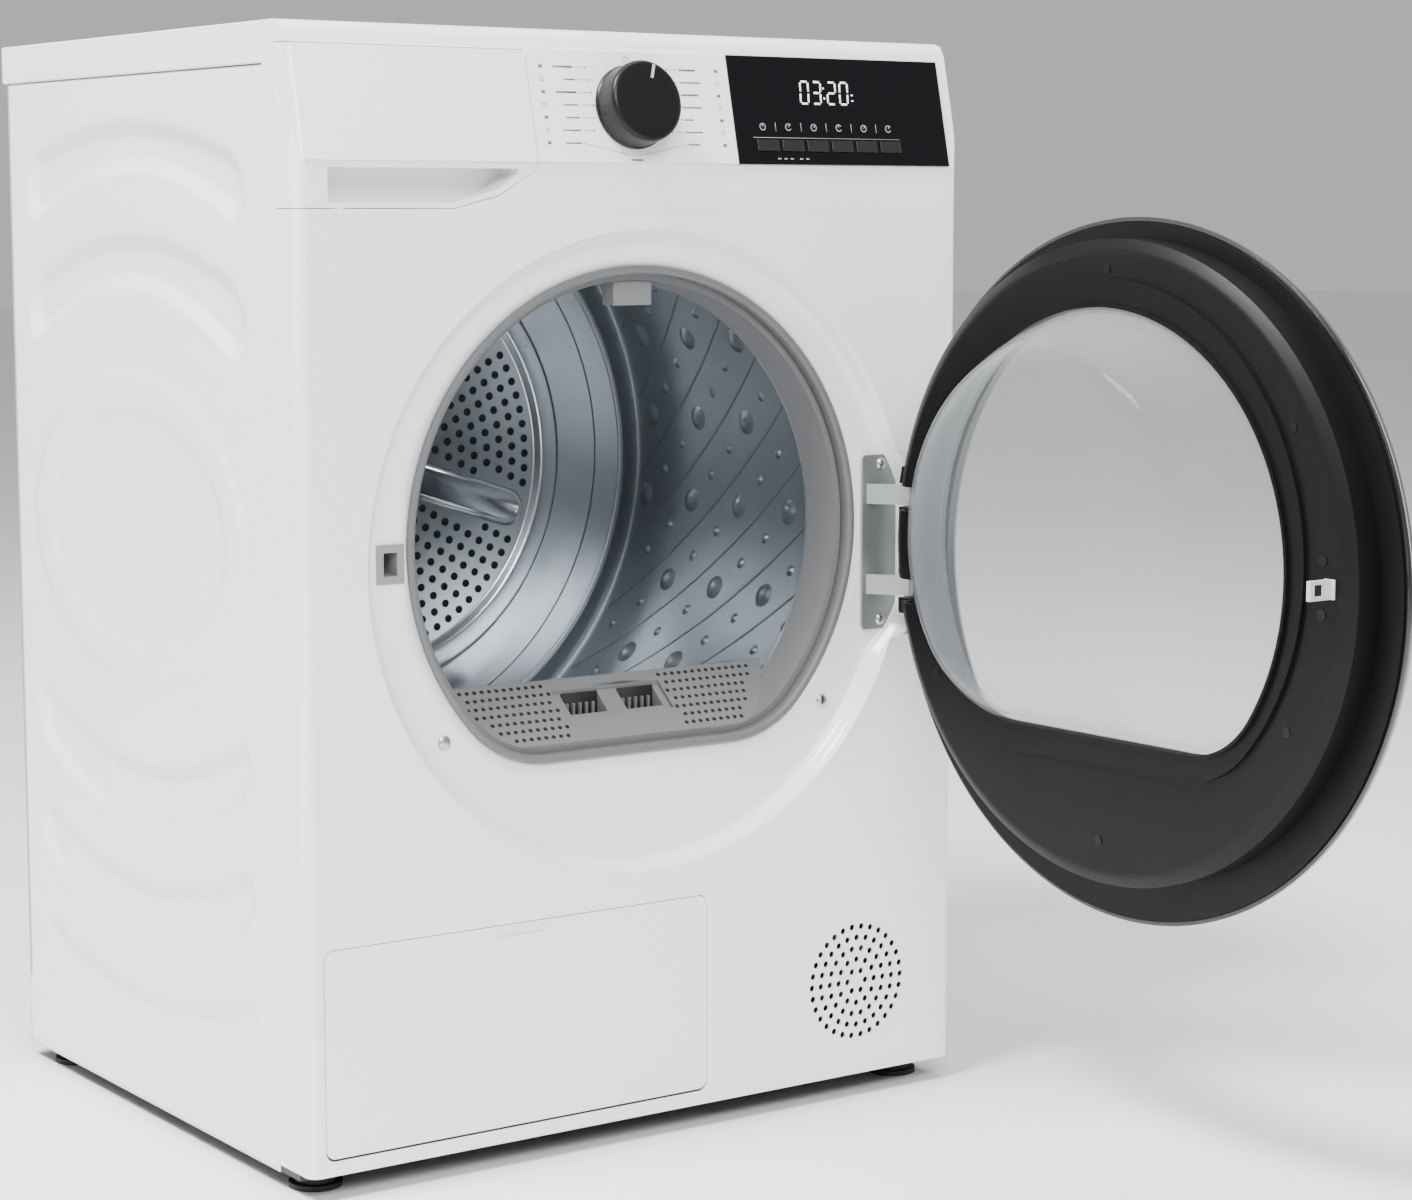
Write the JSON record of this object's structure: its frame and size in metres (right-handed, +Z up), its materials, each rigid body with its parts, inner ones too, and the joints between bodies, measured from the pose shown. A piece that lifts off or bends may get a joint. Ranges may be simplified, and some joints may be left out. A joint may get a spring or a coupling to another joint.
{
  "type": "clothes dryer",
  "caption": "Free-standing heat pump clothes dryer with a round door, a turning drum, a programme knob, option keys and a condensate tank drawer.",
  "frame": {"origin": "on the floor, under the centre of the cabinet's footprint between the front sheet and the rear edge of the worktop", "axes": "+X to the right of someone facing the front, +Y from the front to the back, +Z up; the front sheet faces -Y"},
  "size_m": [0.598, 1.0874, 0.85],
  "materials": {
    "white_enamel": "smooth gloss baked enamel on pressed steel",
    "white_laminate": "white laminate on board with a moulded edge",
    "galvanised": "zinc coated sheet with a faint spangle",
    "screw_steel": "plated screws",
    "base_black": "coarse moulded plastic",
    "foot_black": "moulded foot with a rubber pad",
    "white_plastic": "satin white moulding",
    "panel_white": "gloss white printed panel",
    "panel_black": "gloss black window over the display",
    "knob_black": "fine satin black",
    "tank_clear": "translucent white water tank",
    "liner_grey": "fine textured grey moulding",
    "seal_grey": "soft matte gasket",
    "filter_grey": "fine textured grey moulding with mesh",
    "lamp_lens": "frosted clear lens",
    "latch_grey": "satin grey latch body",
    "zinc_cast": "dull zinc pressing",
    "door_gloss": "gloss black outer ring",
    "door_black": "satin black inner frame",
    "door_clear": "clear moulded bowl",
    "hook_grey": "light grey strike hook",
    "shaft_steel": "ground steel",
    "drum_steel": "stamped stainless sheet",
    "paddle_grey": "satin grey moulding",
    "roller_grey": "rubber tyred roller",
    "motor_metal": "motor body with a dark winding",
    "fan_plastic": "moulded fan wheel",
    "duct_plastic": "moulded air duct",
    "belt_rubber": "ribbed belt",
    "compressor_black": "black enamelled shell",
    "fin_aluminium": "thin bare fins",
    "key_black": "satin black keys"
  },
  "bodies": {
    "cabinet": {"left_side_panel": "white_enamel", "right_side_panel": "white_enamel", "front_panel": "white_enamel", "top_panel": "white_laminate", "rear_panel": "galvanised", "rear_duct_cover": "galvanised", "rear_screws": "screw_steel", "base_tray": "base_black", "control_fascia": "white_plastic", "programme_panel": "panel_white", "display_window": "panel_black", "tank_housing": "liner_grey", "door_seal": "seal_grey", "opening_collar": "liner_grey", "front_bulkhead": "galvanised", "filter_grille": "filter_grey", "drum_lamp": "lamp_lens", "latch_receptacle": "latch_grey", "hinge_plate": "zinc_cast", "front_screws": "screw_steel", "motor": "motor_metal", "fan_housing": "duct_plastic", "drive_belt": "belt_rubber", "compressor": "compressor_black", "heat_exchangers": "fin_aluminium", "process_duct": "duct_plastic", "drain_spigot": "base_black", "mains_inlet": "base_black", "fan_grille": "white_plastic", "fan_shroud": "duct_plastic"},
    "door": {"door_outer_ring": "door_gloss", "door_inner_frame": "door_black", "door_clamp_ring": "door_black", "door_bowl": "door_clear", "door_hook": "hook_grey", "door_screws": "screw_steel", "door_hinge_pin": "shaft_steel"},
    "tank_drawer": {"drawer_front": "white_plastic", "water_tank": "tank_clear"},
    "lint_filter_body": {"lint_filter": "filter_grey"},
    "programme_knob_body": {"programme_knob": "knob_black"},
    "drum": {"drum_wall": "drum_steel", "drum_back": "drum_steel", "drum_paddles": "paddle_grey"},
    "motor_rotor": {"motor_shaft": "shaft_steel", "process_fan": "fan_plastic"},
    "left_roller": {"roller_left": "roller_grey"},
    "right_roller": {"roller_right": "roller_grey"},
    "cooling_fan_body": {"cooling_fan": "fan_plastic"},
    "flap": {"service_flap": "white_plastic"},
    "key_1_body": {"key_1": "key_black"},
    "key_2_body": {"key_2": "key_black"},
    "key_3_body": {"key_3": "key_black"},
    "key_4_body": {"key_4": "key_black"},
    "key_5_body": {"key_5": "key_black"},
    "key_6_body": {"key_6": "key_black"},
    "foot_front_left_body": {"foot_front_left": "foot_black"},
    "foot_front_right_body": {"foot_front_right": "foot_black"},
    "foot_rear_left_body": {"foot_rear_left": "foot_black"},
    "foot_rear_right_body": {"foot_rear_right": "foot_black"}
  },
  "joints": [
    {"name": "door_hinge", "type": "hinge", "parent": "cabinet", "child": "door", "pos_m": [0.243, -0.277, 0.45], "axis": [0, 0, 1], "range_deg": [-92, 28]},
    {"name": "drawer_slide", "type": "slide", "parent": "cabinet", "child": "tank_drawer", "axis": [0, -1, 0], "range_m": [0, 0.3]},
    {"name": "filter_lift", "type": "slide", "parent": "cabinet", "child": "lint_filter_body", "axis": [0, 0, 1], "range_m": [0, 0.12]},
    {"name": "knob_turn", "type": "hinge", "parent": "cabinet", "child": "programme_knob_body", "pos_m": [-0.013, -0.2475, 0.7924], "axis": [0, -0.9748, 0.2233], "continuous": true},
    {"name": "key_1_press", "type": "slide", "parent": "cabinet", "child": "key_1_body", "axis": [0, 0.9748, -0.2233], "range_m": [0, 0.001], "stiffness_N_per_m": 600},
    {"name": "key_2_press", "type": "slide", "parent": "cabinet", "child": "key_2_body", "axis": [0, 0.9748, -0.2233], "range_m": [0, 0.001], "stiffness_N_per_m": 600},
    {"name": "key_3_press", "type": "slide", "parent": "cabinet", "child": "key_3_body", "axis": [0, 0.9748, -0.2233], "range_m": [0, 0.001], "stiffness_N_per_m": 600},
    {"name": "key_4_press", "type": "slide", "parent": "cabinet", "child": "key_4_body", "axis": [0, 0.9748, -0.2233], "range_m": [0, 0.001], "stiffness_N_per_m": 600},
    {"name": "key_5_press", "type": "slide", "parent": "cabinet", "child": "key_5_body", "axis": [0, 0.9748, -0.2233], "range_m": [0, 0.001], "stiffness_N_per_m": 600},
    {"name": "key_6_press", "type": "slide", "parent": "cabinet", "child": "key_6_body", "axis": [0, 0.9748, -0.2233], "range_m": [0, 0.001], "stiffness_N_per_m": 600},
    {"name": "drum_spin", "type": "hinge", "parent": "cabinet", "child": "drum", "pos_m": [0, 0, 0.498], "axis": [0, 1, 0], "continuous": true},
    {"name": "motor_spin", "type": "hinge", "parent": "cabinet", "child": "motor_rotor", "pos_m": [0.165, 0, 0.112], "axis": [0, 1, 0], "continuous": true},
    {"name": "left_roller_spin", "type": "hinge", "parent": "cabinet", "child": "left_roller", "pos_m": [-0.19997, 0, 0.25968], "axis": [0, 1, 0], "continuous": true},
    {"name": "right_roller_spin", "type": "hinge", "parent": "cabinet", "child": "right_roller", "pos_m": [0.19997, 0, 0.25968], "axis": [0, 1, 0], "continuous": true},
    {"name": "cooling_fan_spin", "type": "hinge", "parent": "cabinet", "child": "cooling_fan_body", "pos_m": [0.2, 0, 0.0958], "axis": [0, 1, 0], "continuous": true},
    {"name": "flap_hinge", "type": "hinge", "parent": "cabinet", "child": "flap", "pos_m": [-0.1175, -0.2516, 0.0401], "axis": [1, 0, 0], "range_deg": [0, 85]},
    {"name": "foot_front_left_screw", "type": "slide", "parent": "cabinet", "child": "foot_front_left_body", "axis": [0, 0, -1], "range_m": [-0.003, 0.01]},
    {"name": "foot_front_right_screw", "type": "slide", "parent": "cabinet", "child": "foot_front_right_body", "axis": [0, 0, -1], "range_m": [-0.003, 0.01]},
    {"name": "foot_rear_left_screw", "type": "slide", "parent": "cabinet", "child": "foot_rear_left_body", "axis": [0, 0, -1], "range_m": [-0.003, 0.01]},
    {"name": "foot_rear_right_screw", "type": "slide", "parent": "cabinet", "child": "foot_rear_right_body", "axis": [0, 0, -1], "range_m": [-0.003, 0.01]}
  ],
  "couplings": [
    {"joint": "motor_spin", "follows": "drum_spin", "ratio": 35.85},
    {"joint": "left_roller_spin", "follows": "drum_spin", "ratio": -11.95},
    {"joint": "right_roller_spin", "follows": "drum_spin", "ratio": -11.95}
  ]
}
